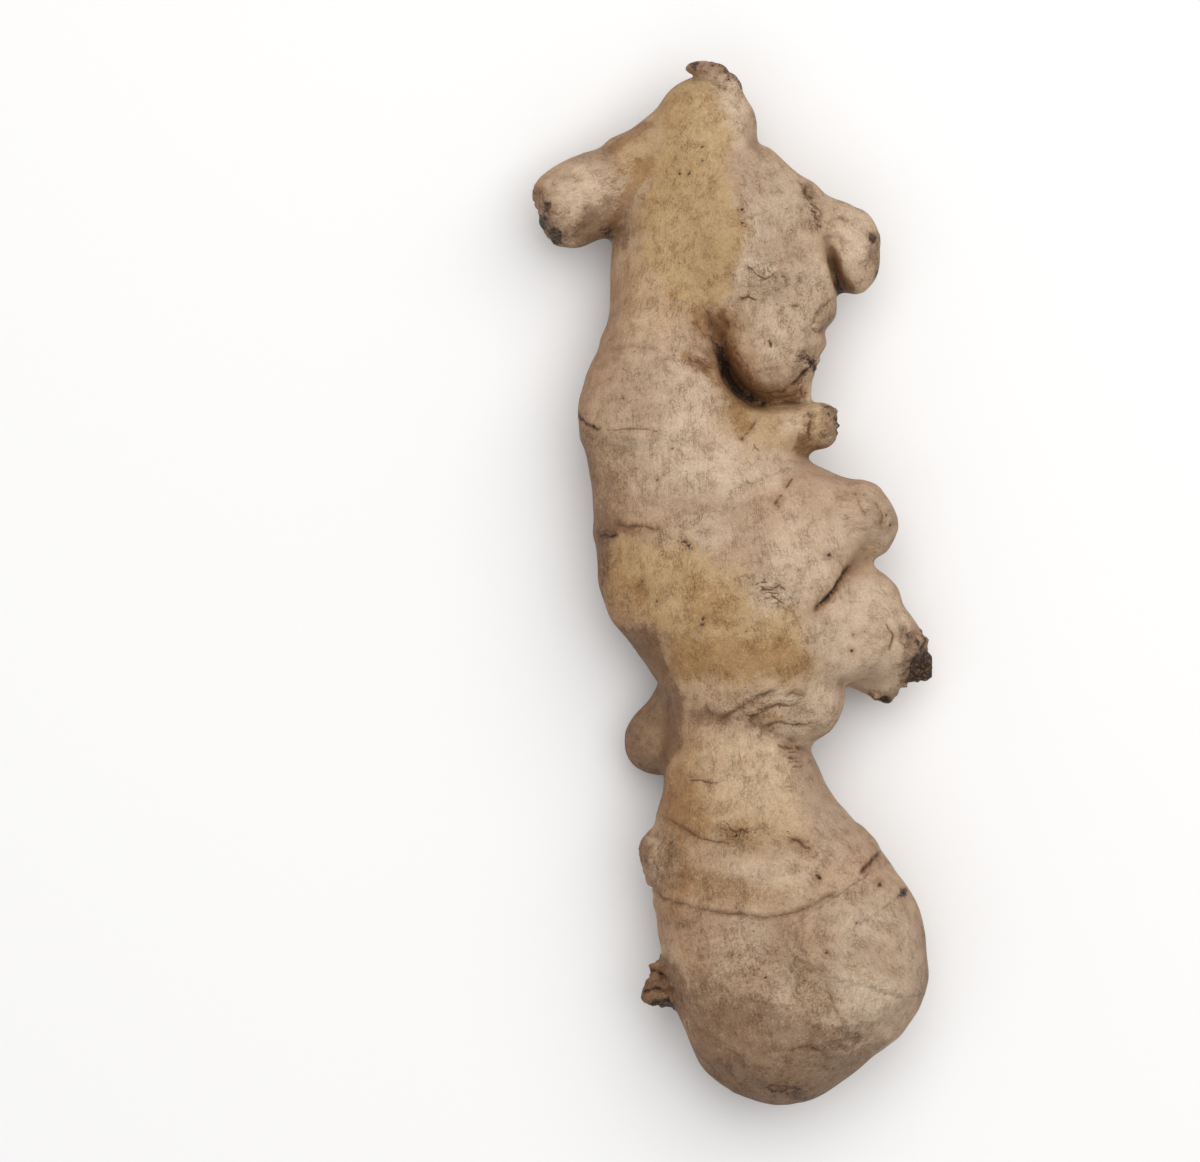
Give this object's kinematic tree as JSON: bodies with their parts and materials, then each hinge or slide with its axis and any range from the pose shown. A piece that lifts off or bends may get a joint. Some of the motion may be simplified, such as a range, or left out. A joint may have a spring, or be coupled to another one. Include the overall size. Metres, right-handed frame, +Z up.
{
  "type": "ginger root",
  "caption": "Plump fresh ginger rhizome lying flat, with knobby fingers, leaf scale rings, snapped ends and a broad lower bulb.",
  "frame": {"origin": "middle of the bounding box in plan, on the plane of the flat spots that the rhizome rests on", "axes": "+Y along the rhizome from the broad lower bulb to the upper lobes, +Z up from the surface it lies on, +X to the side of the short right branch"},
  "size_m": [0.073, 0.19, 0.0343],
  "materials": {
    "ginger_skin": "matte, thin papery skin with fine lengthwise fibres"
  },
  "bodies": {
    "root": {"ginger_rhizome": "ginger_skin"}
  },
  "joints": []
}
